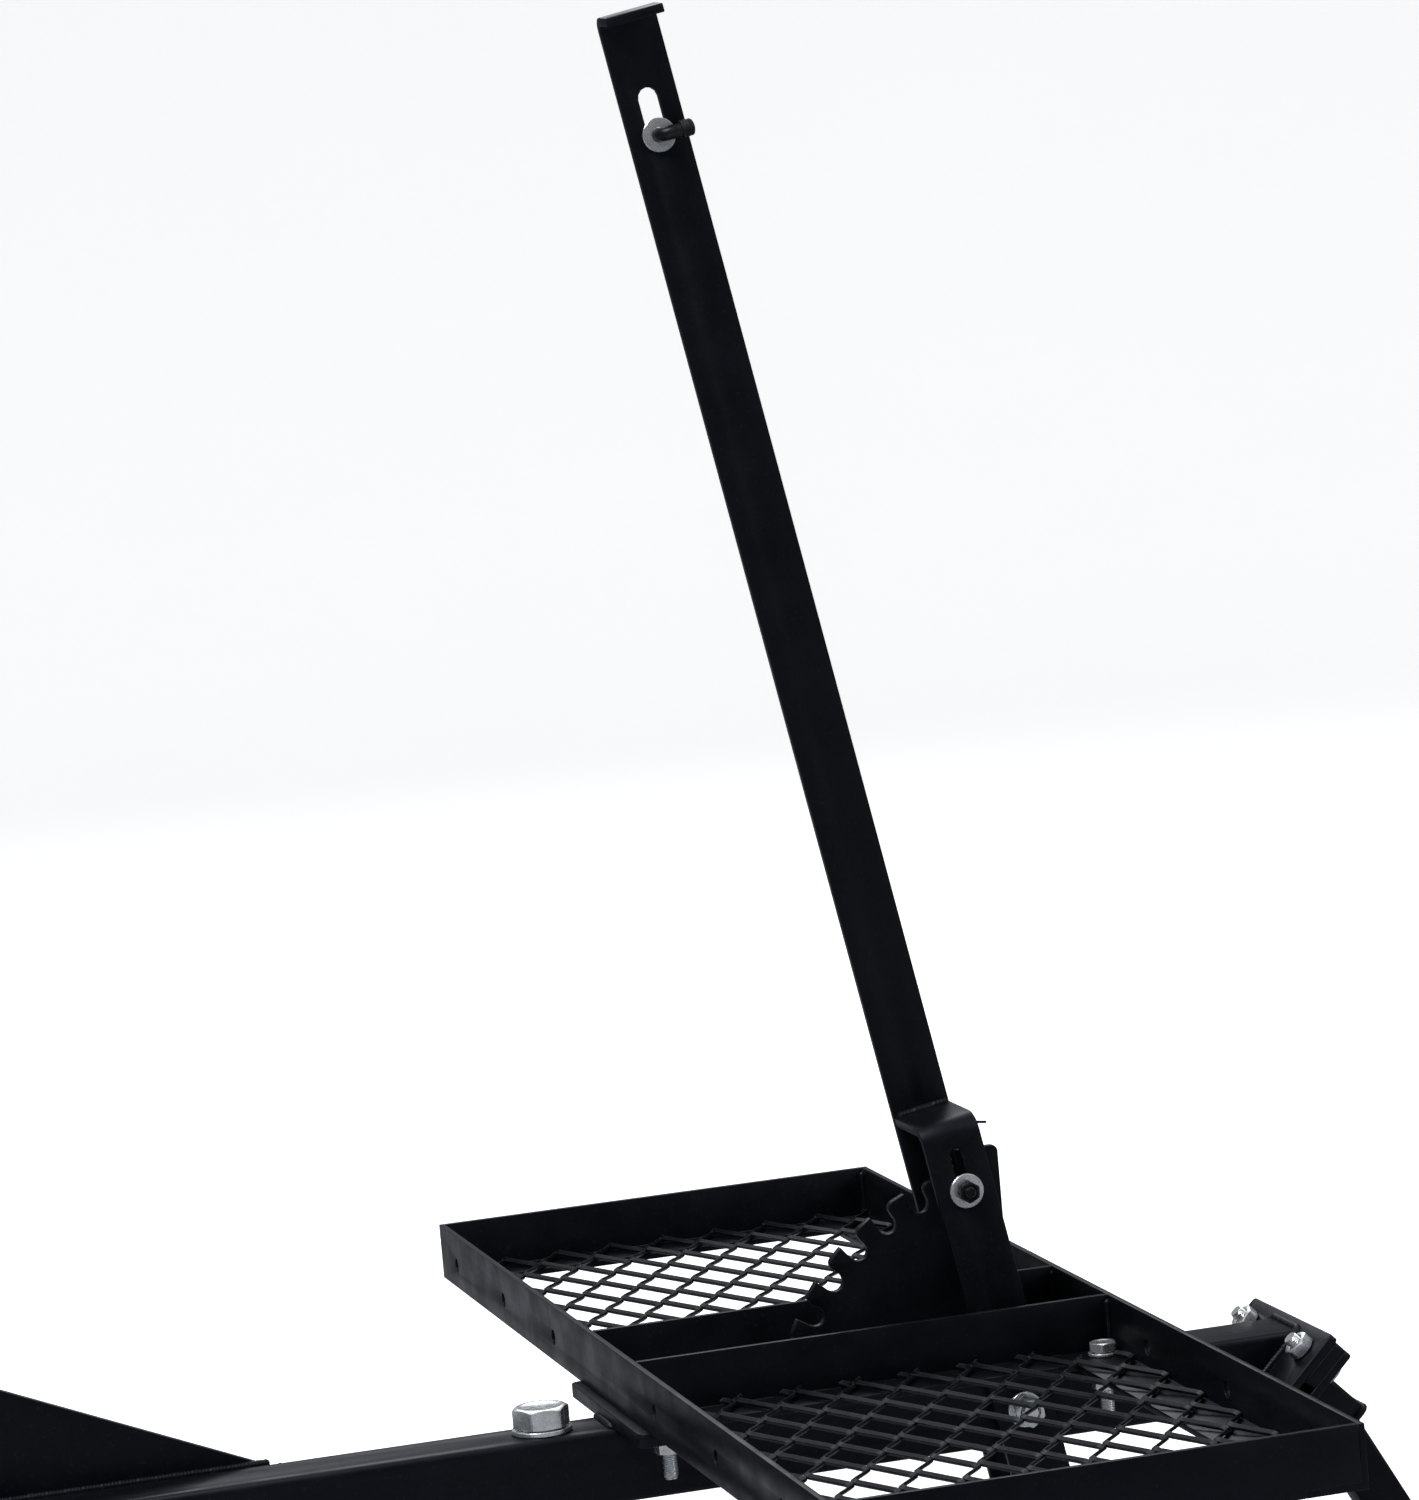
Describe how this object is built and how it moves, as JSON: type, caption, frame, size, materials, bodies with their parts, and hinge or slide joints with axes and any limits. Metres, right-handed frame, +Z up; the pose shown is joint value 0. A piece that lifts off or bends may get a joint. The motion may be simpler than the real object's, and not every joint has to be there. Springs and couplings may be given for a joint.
{
  "type": "hitch cargo carrier",
  "caption": "Hitch cargo carrier: a low expanded-metal tray in two bays on a square tube, with a notched quadrant and a latching stand lever.",
  "frame": {"origin": "centre of the hitch pin hole in the shank, on the shank's axis", "axes": "+X from the vehicle to the rear along the tube, +Y across the vehicle, +Z up"},
  "size_m": [1.4101, 1.024, 1.1333],
  "materials": {
    "powder_coat": "black semi-gloss powder coat on mild steel",
    "zinc": "bright zinc plate",
    "black_steel": "black oxide steel",
    "vinyl": "dipped black vinyl, satin"
  },
  "bodies": {
    "carrier": {"hitch_shank": "powder_coat", "hitch_riser": "powder_coat", "riser_gusset": "powder_coat", "main_tube": "powder_coat", "tray_rail_front": "powder_coat", "tray_rail_rear": "powder_coat", "tray_end_near": "powder_coat", "tray_end_far": "powder_coat", "tray_divider_near": "powder_coat", "tray_divider_far": "powder_coat", "mesh_panel_near": "powder_coat", "mesh_panel_far": "powder_coat", "mount_plate_front": "powder_coat", "mount_plate_rear": "powder_coat", "quadrant_plate": "powder_coat", "end_plate": "powder_coat", "rear_spacer": "powder_coat", "rear_flange": "powder_coat", "rear_stub": "powder_coat", "rear_leg": "powder_coat", "rear_foot": "powder_coat", "hitch_pin": "zinc", "hitch_clip": "zinc", "tongue_bolt": "zinc", "tongue_washer": "zinc", "tongue_nut": "zinc", "pivot_bolt": "zinc", "pivot_nut": "zinc", "pivot_washer_near": "zinc", "pivot_washer_far": "zinc", "pivot_sleeve": "zinc", "rear_bolt_near": "zinc", "rear_bolt_far": "zinc", "rear_nut_near": "zinc", "rear_nut_far": "zinc", "mount_bolt_front_near": "zinc", "mount_washer_front_near": "zinc", "mount_nut_front_near": "zinc", "mount_bolt_front_far": "zinc", "mount_washer_front_far": "zinc", "mount_nut_front_far": "zinc", "mount_bolt_rear_near": "zinc", "mount_washer_rear_near": "zinc", "mount_nut_rear_near": "zinc", "mount_bolt_rear_far": "zinc", "mount_washer_rear_far": "zinc", "mount_nut_rear_far": "zinc"},
    "lever": {"lever_bar": "powder_coat", "lever_strap": "powder_coat", "foot_tube": "powder_coat", "rod_guide": "powder_coat", "latch_spring": "black_steel"},
    "latch": {"latch_pin": "black_steel", "latch_nut": "black_steel", "latch_washer_near": "zinc", "latch_washer_far": "zinc", "lift_eye": "black_steel", "lift_rod": "black_steel", "grip_sleeve": "vinyl", "grip_washer": "zinc"}
  },
  "joints": [
    {"name": "lever_swing", "type": "hinge", "parent": "carrier", "child": "lever", "pos_m": [1.0024, 0, -0.11], "axis": [0, -1, 0], "range_deg": [0, 59.4]},
    {"name": "latch_lift", "type": "slide", "parent": "lever", "child": "latch", "axis": [-0.1805, 0, 0.9836], "range_m": [0, 0.025], "stiffness_N_per_m": 800, "springref_m": -0.01, "deforming": ["latch_spring"]}
  ]
}
